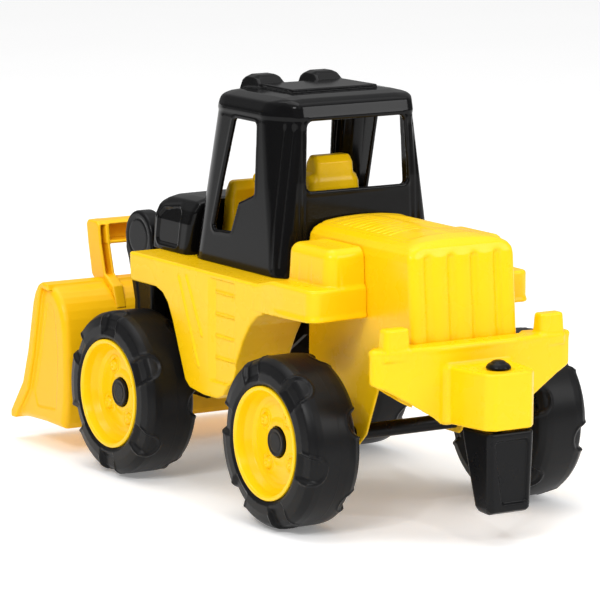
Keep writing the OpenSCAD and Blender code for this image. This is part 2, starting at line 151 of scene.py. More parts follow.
def sm(v, a, b):
    """Smooth step from 0 at a to 1 at b."""
    t = np.clip((v - F(a)) / F(b - a), 0, 1)
    return t * t * (3 - 2 * t)


# ------------------------------------------------------------------ meshing: surface nets, then onto the exact surface
def nets(f, lo, hi, h, mirror=False):
    lo = np.array(lo, float) - 2 * h
    hi = np.array(hi, float) + 2 * h
    if mirror:
        lo[1] = -h / 2
    B = 8
    nb = np.maximum(1, np.ceil((hi - lo) / (h * B)).astype(int))
    n = nb * B + 1
    g = [(lo[i] + h * (np.arange(nb[i]) * B + B / 2)).astype(F) for i in range(3)]
    cx, cy, cz = np.meshgrid(*g, indexing="ij")
    d0 = f(cx.ravel(), cy.ravel(), cz.ravel()).reshape(tuple(nb))
    keep = np.abs(d0) < h * B * 0.8661 * 1.3 + h
    V = np.repeat(np.repeat(np.repeat(np.where(d0 < 0, -99.0, 99.0).astype(F), B, 0), B, 1), B, 2)
    V = np.pad(V, ((0, 1), (0, 1), (0, 1)), mode="edge")
    bi = np.argwhere(keep)
    o = np.arange(B + 1)
    oi, oj, ok = [q.ravel() for q in np.meshgrid(o, o, o, indexing="ij")]
    CH = 600
    for s in range(0, len(bi), CH):
        b = bi[s:s + CH] * B
        I = (b[:, :1] + oi).ravel(); J = (b[:, 1:2] + oj).ravel(); K = (b[:, 2:] + ok).ravel()
        V[I, J, K] = f((lo[0] + h * I).astype(F), (lo[1] + h * J).astype(F), (lo[2] + h * K).astype(F))
    neg = V < 0
    s8 = np.zeros(tuple(n - 1), np.uint8)
    for a in (0, 1):
        for b in (0, 1):
            for c in (0, 1):
                s8 += neg[a:n[0] - 1 + a, b:n[1] - 1 + b, c:n[2] - 1 + c]
    act = (s8 > 0) & (s8 < 8)
    ci = np.argwhere(act)
    idx = np.full(tuple(n - 1), -1, np.int64)
    idx[act] = np.arange(len(ci))
    C = {}
    for a in (0, 1):
        for b in (0, 1):
            for c in (0, 1):
                C[a, b, c] = V[ci[:, 0] + a, ci[:, 1] + b, ci[:, 2] + c]
    acc = np.zeros((len(ci), 3)); cnt = np.zeros(len(ci))
    for ax in range(3):
        for u in (0, 1):
            for w in (0, 1):
                k0 = [0, 0, 0]; k0[(ax + 1) % 3] = u; k0[(ax + 2) % 3] = w
                k1 = list(k0); k1[ax] = 1
                v0, v1 = C[tuple(k0)], C[tuple(k1)]
                m = (v0 < 0) != (v1 < 0)
                t = np.where(m, v0 / np.where(m, v0 - v1, 1), 0)
                q = np.array(k0, float)[None, :].repeat(len(ci), 0)
                q[:, ax] = t
                acc[m] += q[m]; cnt[m] += 1
    P = lo + h * (ci + acc / np.maximum(cnt, 1)[:, None])
    mid = (ci[:, 1] == 0) if mirror else np.zeros(len(ci), bool)
    T = np.array([[1, 1, 1], [1, -1, -1], [-1, 1, -1], [-1, -1, 1]], float)

    def grad(P, e):
        G = np.zeros_like(P); D = np.zeros(len(P))
        for t in T:
            q = (P + e * t).astype(F)
            v = f(q[:, 0], q[:, 1], q[:, 2]).astype(float)
            G += v[:, None] * t; D += v
        return D / 4, G / (4 * e)

    for _ in range(2):
        D, G = grad(P, 0.3 * h)
        g2 = np.maximum((G * G).sum(1), 0.2)
        step = np.clip(-D / g2, -0.6 * h, 0.6 * h)[:, None] * G
        P = P + step
        P[mid, 1] = 0.0
    _, G = grad(P, 0.35)
    G[mid, 1] = 0.0
    N = G / np.maximum(np.linalg.norm(G, axis=1), 1e-9)[:, None]
    quads = []
    for ax in range(3):
        a1, a2 = (ax + 1) % 3, (ax + 2) % 3
        sl0 = [slice(None)] * 3; sl1 = [slice(None)] * 3
        sl0[ax] = slice(0, n[ax] - 1); sl1[ax] = slice(1, n[ax])
        sl0[a1] = sl1[a1] = slice(1, n[a1] - 1); sl0[a2] = sl1[a2] = slice(1, n[a2] - 1)
        x0, x1 = neg[tuple(sl0)], neg[tuple(sl1)]
        e = np.argwhere(x0 != x1)
        if not len(e):
            continue
        flip = x0[x0 != x1]
        base = e.copy(); base[:, a1] += 1; base[:, a2] += 1
        vs = []
        for u, w in ((1, 1), (0, 1), (0, 0), (1, 0)):
            c = base.copy(); c[:, a1] -= u; c[:, a2] -= w
            vs.append(idx[c[:, 0], c[:, 1], c[:, 2]])
        Q = np.stack(vs, 1)
        Q[~flip] = Q[~flip][:, ::-1]
        quads.append(Q)
    Q = np.concatenate(quads)
    Q = Q[(Q >= 0).all(1)]
    if mirror:
        k = len(P)
        new = np.arange(k)
        new[~mid] = k + np.arange((~mid).sum())
        P = np.concatenate([P, P[~mid] * [1, -1, 1]])
        N = np.concatenate([N, N[~mid] * [1, -1, 1]])
        Q = np.concatenate([Q, new[Q][:, ::-1]])
    return P, N, Q


def make(name, P, N, Q, slot, mat, flip_y=False, origin=(0, 0, 0), link=True):
    """A Blender mesh from points in the vehicle's frame, in mm."""
    P = np.array(P, float); N = np.array(N, float); Q = np.array(Q)
    if flip_y:
        P = P * [1, -1, 1]; N = N * [1, -1, 1]; Q = Q[:, ::-1]
    P = (P - np.array([SX, 0, 0]) * link) / 1000.0
    me = bpy.data.meshes.new(name)
    me.vertices.add(len(P)); me.vertices.foreach_set("co", P.astype(F).ravel())
    me.loops.add(Q.size); me.loops.foreach_set("vertex_index", Q.astype(np.int32).ravel())
    me.polygons.add(len(Q))
    me.polygons.foreach_set("loop_start", (np.arange(len(Q)) * 4).astype(np.int32))
    me.update(calc_edges=True)
    me.validate()
    me.polygons.foreach_set("use_smooth", np.ones(len(me.polygons), bool))
    me.materials.append(mat)
    if len(me.vertices) == len(N):
        me.normals_split_custom_set_from_vertices(N.astype(F))
    ob = bpy.data.objects.new(name, me)
    bpy.context.scene.collection.objects.link(ob)
    ob["slot_name"] = slot
    return ob


# ------------------------------------------------------------------ materials
def plastic(name, col, rough, bump=0.10, cell=900.0, coat=0.0, dusty=0.03, warm=(0, 0, 0), sss=0.0, seam=None, spec=0.5):
    m = bpy.data.materials.new(name)
    m.use_nodes = True
    nt = m.node_tree; nt.nodes.clear()
    out = nt.nodes.new("ShaderNodeOutputMaterial")
    b = nt.nodes.new("ShaderNodeBsdfPrincipled")
    nt.links.new(b.outputs[0], out.inputs[0])
    tc = nt.nodes.new("ShaderNodeTexCoord")
    n1 = nt.nodes.new("ShaderNodeTexNoise"); n1.inputs["Scale"].default_value = 9.0; n1.inputs["Detail"].default_value = 4.0
    nt.links.new(tc.outputs["Object"], n1.inputs["Vector"])
    mix = nt.nodes.new("ShaderNodeMix"); mix.data_type = "RGBA"
    mix.inputs[6].default_value = (*[c * (1 - dusty) for c in col], 1)
    mix.inputs[7].default_value = (*[min(1, c * (1 + dusty) + w) for c, w in zip(col, warm)], 1)
    nt.links.new(n1.outputs["Fac"], mix.inputs[0])
    nt.links.new(mix.outputs[2], b.inputs["Base Color"])
    n2 = nt.nodes.new("ShaderNodeTexNoise"); n2.inputs["Scale"].default_value = 38.0; n2.inputs["Detail"].default_value = 5.0
    nt.links.new(tc.outputs["Object"], n2.inputs["Vector"])
    mr = nt.nodes.new("ShaderNodeMapRange")
    mr.inputs[3].default_value = max(0.02, rough - 0.05); mr.inputs[4].default_value = rough + 0.06
    nt.links.new(n2.outputs["Fac"], mr.inputs[0])
    nt.links.new(mr.outputs[0], b.inputs["Roughness"])
    n3 = nt.nodes.new("ShaderNodeTexNoise"); n3.inputs["Scale"].default_value = cell; n3.inputs["Detail"].default_value = 2.0
    nt.links.new(tc.outputs["Object"], n3.inputs["Vector"])
    n4 = nt.nodes.new("ShaderNodeTexNoise"); n4.inputs["Scale"].default_value = 45.0; n4.inputs["Detail"].default_value = 2.0
    nt.links.new(tc.outputs["Object"], n4.inputs["Vector"])
    ad = nt.nodes.new("ShaderNodeMath"); ad.operation = "MULTIPLY_ADD"
    nt.links.new(n4.outputs["Fac"], ad.inputs[0]); ad.inputs[1].default_value = 1.6
    nt.links.new(n3.outputs["Fac"], ad.inputs[2])
    h = ad.outputs[0]
    if seam is not None:
        # fine mould line round the part at a height along local y
        sp = nt.nodes.new("ShaderNodeSeparateXYZ"); nt.links.new(tc.outputs["Object"], sp.inputs[0])
        s1 = nt.nodes.new("ShaderNodeMath"); s1.operation = "SUBTRACT"; s1.inputs[1].default_value = seam
        nt.links.new(sp.outputs[1], s1.inputs[0])
        s2 = nt.nodes.new("ShaderNodeMath"); s2.operation = "ABSOLUTE"; nt.links.new(s1.outputs[0], s2.inputs[0])
        s3 = nt.nodes.new("ShaderNodeMapRange"); s3.inputs[1].default_value = 0.0; s3.inputs[2].default_value = 0.0009
        s3.inputs[3].default_value = 2.4; s3.inputs[4].default_value = 0.0
        nt.links.new(s2.outputs[0], s3.inputs[0])
        s4 = nt.nodes.new("ShaderNodeMath"); s4.operation = "ADD"
        nt.links.new(s3.outputs[0], s4.inputs[0]); nt.links.new(h, s4.inputs[1])
        h = s4.outputs[0]
    bp = nt.nodes.new("ShaderNodeBump"); bp.inputs["Strength"].default_value = bump; bp.inputs["Distance"].default_value = 0.0002
    nt.links.new(h, bp.inputs["Height"])
    nt.links.new(bp.outputs[0], b.inputs["Normal"])
    b.inputs["IOR"].default_value = 1.5
    b.inputs["Specular IOR Level"].default_value = spec
    if coat:
        b.inputs["Coat Weight"].default_value = coat
        b.inputs["Coat Roughness"].default_value = 0.06
    if sss:
        b.inputs["Subsurface Weight"].default_value = sss
        b.inputs["Subsurface Radius"].default_value = (0.004, 0.002, 0.0005)
        b.inputs["Subsurface Scale"].default_value = 1.0
    return m


YEL = plastic("m_yellow", (0.98, 0.59, 0.003), 0.27, bump=0.05, dusty=0.015, spec=0.24)
HUBY = plastic("m_hub_yellow", (0.98, 0.60, 0.003), 0.24, bump=0.04, dusty=0.015, spec=0.28)
BUCK = plastic("m_bucket", (0.98, 0.53, 0.004), 0.33, bump=0.07, dusty=0.02, spec=0.22)
GLOSS = plastic("m_black_gloss", (0.0035, 0.0035, 0.0038), 0.12, bump=0.03, dusty=0.1, spec=0.14)
SATIN = plastic("m_black_satin", (0.0045, 0.0045, 0.005), 0.28, bump=0.08, dusty=0.12, spec=0.14)
TYRE = plastic("m_tyre", (0.0055, 0.0055, 0.006), 0.34, bump=0.16, cell=1400.0, dusty=0.14, spec=0.15, seam=(TY0 + TY1) / 2000 - 0.0035)
STEEL = plastic("m_steel", (0.55, 0.55, 0.57), 0.3, bump=0.05)
STEEL.node_tree.nodes["Principled BSDF"].inputs["Metallic"].default_value = 1.0

H = 1.4


def add(name, f, lo, hi, slot, mat, nodes, body, mirror=False, pair=None, h=1.0):
    P, N, Q = nets(f, lo, hi, H * h, mirror)
    ob = make(name, P, N, Q, slot, mat)
    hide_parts(*nodes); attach(ob, body)
    if pair:
        ob2 = make(pair[0], P, N, Q, slot, mat, flip_y=True)
        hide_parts(*pair[1]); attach(ob2, pair[2] if len(pair) > 2 else body)
    return ob


# ------------------------------------------------------------------ side panels
SIDE = [(291, 207), (289.5, 180), (244, 180), (231, 176), (222, 168), (213, 152), (191, 101),
        (183, 95), (160, 92), (136, 92), (125, 97), (110, 114), (99, 137), (90, 153), (80, 167), (68, 177), (58, 180.5), (58, 207)]


def f_panel(x, y, z):
    d2 = polyr(SIDE, x, z, 2.2)
    sol = rint(d2, slab(y, 57.2, 115), 2.0)
    inner = 111 - 2.6 * sm(x, 98, 103) * (1 - sm(x, 151, 156))
    hol = np.maximum(d2 + 3, y - inner)
    d = np.maximum(sol, -hol)
    rec = rint(poly([(152, 117), (148.5, 114.6), (139, 112.7), (106, 112.7), (103, 117)], x, y), slab(z, 108, 202), 1.0)
    d = rdif(d, rec, 0.8)
    for k in (190, 170, 150, 130):
        d = runi(d, rint(poly([(106, 111.5), (139, 111.5), (139, 113.9), (106, 113.9)], x, y), slab(z, k - 1.4, k + 1.4), 0.6), 0.8)
    for a, b in (((201.5, 195), (166.5, 118)), ((188, 197), (161, 147))):
        d = runi(d, np.hypot(seg(x, z, a, b), y - 114.6) - 1.9, 0.8)
    return d


add("panel_shell_left", f_panel, (58, 57, 90), (292, 117, 208), "yellow_gloss", YEL, ["side_panel_left"], "chassis",
    pair=("panel_shell_right", ["side_panel_right"]))


# ------------------------------------------------------------------ fenders
FPLAN = [(-22, 50), (-27, 117), (20, 117), (60, 115.3), (88, 115.2), (88, 50)]
FBOX = [(-18, 40), (-23, 97), (50, 97), (50, 40)]


def f_fender(x, y, z):
    top = 213.5 - 6.4 * sm(x, 38, 74)
    d2 = polyr(FPLAN, x, y, 10)
    bot = 185 - (x + 26) * F(3 / 86)
    flare = 1.2 * (1 - sm(z, 186, 191)) * (1 - sm(x, 15, 55))
    o = rint(d2 - flare, z - top, 3.5)
    hol = np.maximum(d2 + 3, z - top + 3)
    d2b = polyr(FBOX, x, y, 12) + (z - 209) * F(0.055)
    ob = rint(d2b, z - 247, 9)
    for fx in (9.0, 28.0):
        ob = rdif(ob, np.hypot(x - fx, y - 99.6) - 3.6, 1.4)
    for fy in (70.0, 84.0):
        ob = rdif(ob, np.hypot(x + 24.6, y - fy) - 3.6, 1.4)
    hb = rint(d2b + 3.2, z - 243.6, 7)
    d = runi(o, ob, 2.5)
    d = np.maximum(d, -np.minimum(hol, np.maximum(hb, 200 - z)))
    d = rint(d, bot - z, 0.8)
    d = np.maximum(d, 56.3 - y)
    return np.maximum(d, x - 74)


add("fender_shell_left", f_fender, (-28, 56, 180), (76, 119, 249), "yellow_gloss", YEL, ["fender_left"], "chassis",
    pair=("fender_shell_right", ["fender_right"]))


# ------------------------------------------------------------------ engine hood
HXZ = [(-94, 40), (-94, 150), (-93.5, 172), (-87.4, 245), (-85, 253), (-79, 258.5), (-66, 262), (-50, 264.2), (40, 264.2), (75.5, 261), (75.5, 40)]
HYZ = [(56, 40), (56, 241), (55, 248), (51, 253), (45, 256.2), (38, 258.8), (20, 262.4), (0, 264.2), (-12, 264.2), (-12, 40)]


def f_hood(x, y, z):
    ay = np.abs(y)
    a = polyr(HXZ, x, z, 5)
    b = polyr(HYZ, ay, z, 3)
    d = rint(a, b, 5)
    face = -93.5 + (z - 172) * F(6.5 / 72)
    rear = 1 - sm(x, -84, -74)
    # broad ribs down the rear face and the grooves between them
    m = rear * (1 - sm(z, 236, 252))
    d = d - 0.8 * m * np.cos(y * F(2 * math.pi / 24.4)) * (1 - sm(ay, 46, 54))
    for gy in (12.2, 36.6):
        g = np.sqrt((x - face + 1.4) ** 2 + (ay - gy) ** 2 + np.maximum(z - 243, 0) ** 2) - 4.0
        d = rdif(d, g, 1.6)
    # louvres on both halves of the top, a raised spine between and a crease beside them
    up = sm(z, 240, 250)
    mask = up * sm(ay, 5.5, 7.5) * (1 - sm(ay, 38, 41))
    t = (x + 31) / 9.0
    near = np.abs(t - np.round(t)) * 9.0
    inx = sm(x, -37, -34) * (1 - sm(x, 53, 56))
    d = d + mask * inx * 0.85 * np.exp(-(near / 1.25) ** 2)
    d = d + up * 0.7 * sm(ay, 4.2, 5.6) * (1 - sm(ay, 39.5, 42.0)) * sm(x, -66, -60) * (1 - sm(x, 62, 66))
    d = d + up * 0.6 * np.exp(-((ay - 43.2) / 1.3) ** 2) * sm(x, -70, -60)
    hol = np.maximum(a + 3 + 4 * rear, b + 3 + 3.5 * sm(z, 226, 242))
    d = np.maximum(d, -hol)
    c1 = poly([(-130, 20), (-130, 152), (-94, 144), (-80, 140), (-39, 123), (-20, 79), (-6, 66), (-4, 20)], x, z)
    c2 = poly([(16, 20), (19, 74), (50, 118), (100, 130), (100, 20)], x, z)
    d = rdif(d, c1, 1.2); d = rdif(d, c2, 1.2)
    return rint(d, 67 - z, 1.2)


add("hood_shell", f_hood, (-96, 0, 66), (77, 58, 266), "yellow_gloss", YEL, ["engine_hood"], "chassis", mirror=True)


# ------------------------------------------------------------------ rear bumper
WPLAN = [(-92, -20), (-92, 57), (-84, 65), (-86, 80), (-92, 98), (-98, 104.5), (-104, 105), (-107, 94), (-111, 68), (-114, 41), (-114, -20)]
WLOW = [(-20, 103), (39, 103), (45, 108.5), (68, 122.5), (90, 135), (109, 143), (118, 147), (118, 172), (-20, 172)]
PPLAN = [(-90, -20), (-90, 36), (-109, 36.5), (-115, 33), (-135, 30.3), (-160, 25.8), (-166.6, 19), (-167, -20)]


def f_bumper(x, y, z):
    ay = np.abs(y)
    a = polyr(WPLAN, x, ay, 4)
    b = polyr(WLOW, ay, z, 1.5)
    w = rint(a, b, 2.6)
    hw = np.maximum(np.maximum(a + 3, z - 169), -80.0 - 100 + 0 * z)
    p2 = polyr(PPLAN, x, ay, 7)
    p = rint(p2, slab(z, 103, 153), 2.2)
    hp = np.maximum(p2 + 3, z - 150)
    d = runi(w, p, 5.0)
    post = rint(poly([(-110.5, 160), (-109.8, 192), (-96.4, 192), (-95, 160)], x, z),
                poly([(67.5, 160), (69.5, 192), (94, 192), (96.5, 160)], ay, z), 4.5)
    post = rint(post, z - 190.2, 3.5)
    d = runi(d, post, 2.2)
    # soft ledge line under the top and a rolled lower edge
    d = d - 0.7 * np.exp(-((z - 168.5) / 2.2) ** 2) * (1 - sm(z, 171, 174))
    d = np.maximum(d, -np.minimum(np.maximum(hw, x + 111 - 0 * x - 400), hp))
    d = rdif(d, rbox(x, ay, z, (-94.6, -80, 100), (-40, 56.6, 200), 0.2), 0.4)
    head = np.hypot(x - HITX, y)
    d = rdif(d, np.maximum(head - 13, 152.5 - z), 0.6)
    return d


add("bumper_shell", f_bumper, (-168, 0, 101), (-76, 111, 192), "yellow_gloss", YEL, ["rear_bumper"], "chassis", mirror=True)


# ------------------------------------------------------------------ cab
CXZ = [(76, 190), (78.5, 292), (82, 347), (85, 360), (92, 367), (104, 370.2), (120, 371), (180, 370), (194, 367), (203, 360), (208, 349), (222, 277), (240, 190)]
CYZ = [(85.3, 190), (84.6, 207), (82, 285), (79.3, 343), (78.2, 354), (74, 362), (64, 368), (50, 370.6), (30, 371), (-20, 371), (-20, 190)]
WSIDE = [(163, 343), (125, 343), (124, 278), (150, 268), (162, 240), (194, 238)]
WREAR = [(54, 284), (55, 291), (52, 346.5), (-30, 346.5), (-30, 284)]
WFRONT = [(63, 261), (56, 346), (-30, 346), (-30, 261)]


def f_cab(x, y, z):
    ay = np.abs(y)
    a = polyr(CXZ, x, z, 6)
    b = polyr(CYZ, ay, z, 4)
    # leaning bevel down each rear corner
    bev = (ay - 0.64 * (x - 79) - 71.8 + 0.149 * (z - 262)) / 1.197
    fro = (ay - 79.3 - (343 - z) * 0.045 + 0.62 * (x - 191 - (343 - z) * 0.2)) / 1.18
    o = rint(rint(rint(a, b, 9), bev, 4), fro, 5)
    hol = rint(rint(rint(a + 4, b + 4, 8), bev + 4.5, 4), fro + 4.5, 4)
    # brow round the roof
    o = o - 1.1 * sm(z, 346.5, 350.5) * (1 - sm(z, 361, 367))
    # flutes beside the rear corners
    low = sm(z, 209, 216) * (1 - sm(z, 338, 346))
    for c in (-4.0, 5.0):
        o = o + 1.0 * low * (1 - sm(np.abs(bev), 2.0, 5.0)) * np.exp(-(((x - 88) * 0.84 + (ay - 77) * 0.54 + (z - 262) * 0.06 - c) / 1.9) ** 2)
    for c in (63.5, 57.5):
        o = o + 0.9 * low * (1 - sm(x, 88, 94)) * np.exp(-((ay - c - (300 - z) * F(0.02)) / 1.9) ** 2)
    panel = rint(poly([(117, -20), (117, 46), (173, 44), (173, -20)], x, ay), slab(z, 360, 371.6), 1.2)
    pod = rint(poly([(164, 358), (175, 372), (184, 379.5), (196, 379.5), (204.5, 373), (208, 355)], x, z),
               poly([(12, 355), (17.5, 376), (23, 379.5), (40, 379.5), (45.5, 376), (50.5, 355)], ay, z), 4.0)
    wf = polyr(WSIDE, x, z, 4)
    side = np.maximum(wf, 40 - ay)
    wr = polyr(WREAR, ay, z, 6)
    rear = np.maximum(wr, x - 120)
    wn = polyr(WFRONT, ay, z, 6)
    front = np.maximum(wn, 190 - x)
    # raised frames round the openings
    lip = np.exp(-((wf - 2.6) / 1.5) ** 2) * sm(ay, 50, 60) + np.exp(-((wr - 2.6) / 1.5) ** 2) * (1 - sm(x, 95, 110))
    o = o - 0.35 * lip
    d = runi(o, panel, 1.0)
    d = runi(d, pod, 2.5)
    d = np.maximum(d, -hol)
    for wnd in (side, rear, front):
        d = rdif(d, wnd, 1.1)
    return np.maximum(d, 207.1 - z)


add("cab_shell", f_cab, (75, 0, 206), (240, 87, 381), "black_gloss", GLOSS, ["cab"], "chassis", mirror=True)


# ------------------------------------------------------------------ front bonnet
BXZ = [(243, 190), (230, 257), (236, 262), (262, 261.2), (285, 259), (297, 252), (302.4, 240), (303.5, 190)]
BYZ = [(84.5, 190), (82.5, 236), (80, 248), (74, 257), (64, 261.5), (40, 262.5), (-20, 263), (-20, 190)]


def f_bonnet(x, y, z):
    ay = np.abs(y)
    a = polyr(BXZ, x, z, 5)
    b = polyr(BYZ, ay, z, 4)
    o = rint(a, b, 6)
    pan = polyr([(257, 213), (253, 245), (258, 250), (284, 246), (291, 239), (293, 213)], x, z, 5)
    o = o + 1.3 * (1 - sm(pan, -1.4, 0.6)) * sm(ay, 70, 76)
    o = o - 0.6 * np.exp(-((pan - 2.2) / 1.5) ** 2) * sm(ay, 66, 74)
    d = np.maximum(o, -(np.maximum(a, b) + 5))
    return np.maximum(d, 207.1 - z)


add("bonnet_shell", f_bonnet, (228, 0, 206), (304, 86, 264), "black_gloss", GLOSS, ["front_bonnet"], "chassis", mirror=True)


# ------------------------------------------------------------------ seat, dashboard, lever
def f_seat(x, y, z):
    ay = np.abs(y)
    a = rint(polyr([(108, 206.9), (110, 240), (115, 286), (120, 292.5), (132, 292.5), (137, 286), (142, 247), (170, 246), (176, 240), (176, 206.9)], x, z, 3), ay - 27.5, 7)
    b = rint(poly([(115, 280), (116, 303), (121, 309), (131, 309), (136, 302), (136, 280)], x, z), ay - 20.5 + (z - 300) * F(0.05), 4.5)
    d = runi(a, b, 3)
    return np.maximum(d, 206.9 - z)


def f_dash(x, y, z):
    ay = np.abs(y)
    a = rint(polyr([(192, 206.9), (204, 236), (204, 262), (201, 271), (205, 279), (213, 279), (219, 270), (230, 206.9)], x, z, 3), ay - 56, 6)
    hood = rint(polyr([(196, 262), (193, 273), (199, 279), (212, 280), (216, 262)], x, z, 3), ay - 22, 5)
    d = runi(a, hood, 3)
    wheel = np.hypot(np.hypot((x - 189) * 0.94 + (z - 272) * 0.34, y) - 20, (z - 272) * 0.94 - (x - 189) * 0.34) - 2.7
    hubw = np.maximum(np.hypot((x - 189) * 0.94 + (z - 272) * 0.34, y) - 6, np.abs((z - 272) * 0.94 - (x - 189) * 0.34) - 2.4)
    spoke = np.maximum(np.maximum(np.abs(y) - 20, np.abs((x - 189) * 0.94 + (z - 272) * 0.34) - 2.6), np.abs((z - 272) * 0.94 - (x - 189) * 0.34) - 1.6)
    col = np.maximum(np.hypot(y, (x - 189) * 0.94 + (z - 272) * 0.34) - 3.6, np.abs((z - 262) * 0.94 - (x - 189) * 0.34) - 10)
    d = runi(d, runi(wheel, runi(hubw, runi(spoke, col, 1.0), 1.0), 1.0), 1.2)
    return np.maximum(d, 206.9 - z)


def f_lever(x, y, z):
    yy = y - 35
    w = 4.2 - 1.8 * sm(z, 215, 250)
    a = np.sqrt((x - 190.5 - (z - 240) * F(0.05)) ** 2 + yy ** 2) - w
    a = rint(a, z - 279, 1.0)
    ball = np.sqrt((x - 193.5) ** 2 + yy ** 2 + ((z - 281.5) * 0.85) ** 2) - 4.4
    boot = rint(np.hypot(x - 189, yy) - (9.5 - (z - 207) * F(0.45)), z - 218, 1.5)
    return np.maximum(runi(runi(a, ball, 1.5), boot, 2), 206.9 - z)


add("seat_moulding", f_seat, (107, 0, 206), (178, 29, 311), "yellow_gloss", YEL, ["seat"], "chassis", mirror=True)
add("dash_moulding", f_dash, (165, 0, 206), (232, 58, 284), "yellow_gloss", YEL, ["dashboard"], "chassis", mirror=True)
add("lever_moulding", f_lever, (178, 24, 206), (202, 46, 288), "yellow_gloss", YEL, ["control_lever"], "chassis", h=0.8)


# ------------------------------------------------------------------ lift arms
ARM = [(313, 205), (311, 150), (314, 128), (326, 104), (346, 76), (358, 67), (368, 73), (370, 86), (360, 97), (347, 118), (346, 150), (361, 200)]


def f_arm(x, y, z):
    d2 = runi(polyr(ARM, x, z, 3), np.hypot(x - PIVX, z - PIVZ) - 25, 6)
    d2 = runi(d2, np.hypot(x - HGX, z - HGZ) - 12, 4)
    d = rint(d2, slab(y, 61, 78), 3.2)
    rec = polyr([(318, 184), (317, 150), (320, 130), (331, 111), (339, 117), (339, 150), (345, 182)], x, z, 3)
    d = d + 1.5 * (1 - sm(rec, -2.2, 0)) * sm(y, 72, 75)
    ring = np.hypot(x - PIVX, z - PIVZ)
    d = d + 0.6 * sm(y, 72, 75) * np.exp(-((ring - 17.5) / 1.3) ** 2)
    return d


add("arm_moulding_left", f_arm, (309, 60, 66), (372, 79, 238), "black_satin", SATIN, ["lift_arm_left"], "boom",
    pair=("arm_moulding_right", ["lift_arm_right"]))


def f_beam(x, y, z):
    return rint(np.hypot(x - 341, z - 99) - 7 + 0.5 * (1 - sm(np.abs(np.abs(y) - 40), 1.2, 2.4)), np.abs(y) - 61, 0.6)


add("arm_beam_moulding", f_beam, (333, 0, 91), (349, 62, 107), "black_satin", SATIN, ["arm_cross_beam"], "boom", mirror=True)

# ------------------------------------------------------------------ bucket and its hoop
BO = [(381, 24), (420, 25), (452, 24), (476, 21.5), (474, 26), (447, 58), (436, 92), (426, 140), (422, 151), (414, 158.5), (405, 159.6), (399, 157.4), (393, 154), (388, 149.5), (384, 144.5), (380.5, 138), (377.6, 130), (375.4, 120), (374, 110), (373, 98), (372.6, 80), (373, 62), (374.2, 50), (376, 38), (378, 29.5)]
BI = [(385, 28), (420, 28.7), (452, 27.6), (520, 24.5), (520, 200), (440, 156.6), (412, 157), (398, 152.4), (387.4, 143.5), (379.6, 125), (376.6, 100), (376.6, 60), (379.4, 40)]
RIM = [(400, 155), (403, 161.4), (413, 162.6), (420, 159), (426, 151), (430, 141), (441, 93), (452, 60), (476, 28), (476, 21.5), (468, 21.7), (442, 54), (431, 90), (418, 148), (415, 157)]


def f_bucket(x, y, z):
    ay = np.abs(y)
    o = rint(polyr(BO, x, z, 1.2), ay - 137, 7)
    inn = rint(polyr(BI, x, z, 2), ay - 133.4, 5)
    rim = rint(poly(RIM, x, z), ay - 141, 1.5)
    # the rim is a frame: only the edge strip at the sides and across the top
    d = np.maximum(runi(o, rim, 1.6), -inn)
    # raised stiffener on the side wall and bands on the back
    s = polyr([(392, 40), (388, 100), (396, 140), (410, 146), (424, 92), (436, 52), (430, 38)], x, z, 5)
    d = d + 0.9 * (1 - sm(s, -3.0, 0.5)) * sm(ay, 134.5, 136.5)
    for c in (0.0, 70.0):
        bar = rint(poly([(366, 66), (374.5, 56), (374.5, 118), (370, 112)], x, z) if c == 0 else poly([(370.5, 50), (376, 44), (377, 124), (373, 124), (370.5, 112)], x, z),
                   np.abs(ay - c) - (4 if c == 0 else 3), 0.8)
        d = runi(d, bar, 1.6)
    lug = rint(runi(poly([(HGX, HGZ - 11), (377, 50), (377, 118), (HGX, HGZ + 11)], x, z), np.hypot(x - HGX, z - HGZ) - 11, 1.0), np.abs(ay - 54.5) - 4.5, 1.0)
    return runi(d, lug, 1.2)


add("bucket_moulding", f_bucket, (345, 0, 20), (477, 142, 165), "bucket_yellow", BUCK, ["bucket"], "bucket", mirror=True)


def f_hoop(x, y, z):
    ay = np.abs(y)
    post = rint(polyr([(377, 128), (384.5, 146.4), (396, 156.0), (411, 159.0), (419, 157.0), (427, 163.8), (434, 194), (437, 212), (434, 216), (418, 216), (413, 213), (410, 194), (402, 167), (386, 157)], x, z, 0.6), np.abs(ay - 72) - 6, 1.6)
    chan = rint(poly([(380, 160), (398, 184), (402, 200), (405, 212.5), (431.5, 212.5), (429, 193), (423, 166), (400, 165)], x, z), np.abs(ay - 72) - 3.2, 0.8)
    d = rdif(post, chan, 0.6)
    bar = rint(polyr([(410.3, 194), (413, 213), (418, 216), (434, 216), (437, 212), (434, 194)], x, z, 1.5), ay - 70, 1.2)
    bc = rint(poly([(400, 197), (404, 212.6), (430.5, 212.6), (430.5, 197)], x, z), ay - 66, 0.8)
    return runi(d, rdif(bar, bc, 0.6), 0.8)


add("hoop_moulding", f_hoop, (375, 0, 126), (438, 80, 218), "bucket_yellow", BUCK, ["bucket_hoop"], "bucket", mirror=True)


# ------------------------------------------------------------------ hitch
def f_block(x, y, z):
    a = polyr([(-165, 102.5), (-120, 102.5), (-123, 90), (-139, 33), (-143, 28), (-158, 26.8), (-163.5, 31)], x, z, 3)
    b = polyr([(-24, 102.5), (24, 102.5), (23.9, 90), (22.3, 34), (20, 27), (-20, 27), (-22.3, 34), (-23.9, 90)], y, z, 3)
    d = rint(a, b, 5)
    pan = polyr([(-17, 37), (9, 37), (18.5, 94), (-18.5, 94)], y, z, 4)
    d = d + 2.6 * (1 - sm(pan, -1.6, 0.4)) * (1 - sm(x, -159, -155))
    hol = rint(poly([(-157, 96), (-127, 96), (-141.5, 36), (-142.5, 10), (-156.5, 10)], x, z), poly([(-19.5, 96), (19.5, 96), (16, 10), (-16, 10)], y, z), 3)
    return rdif(d, hol, 1.0)


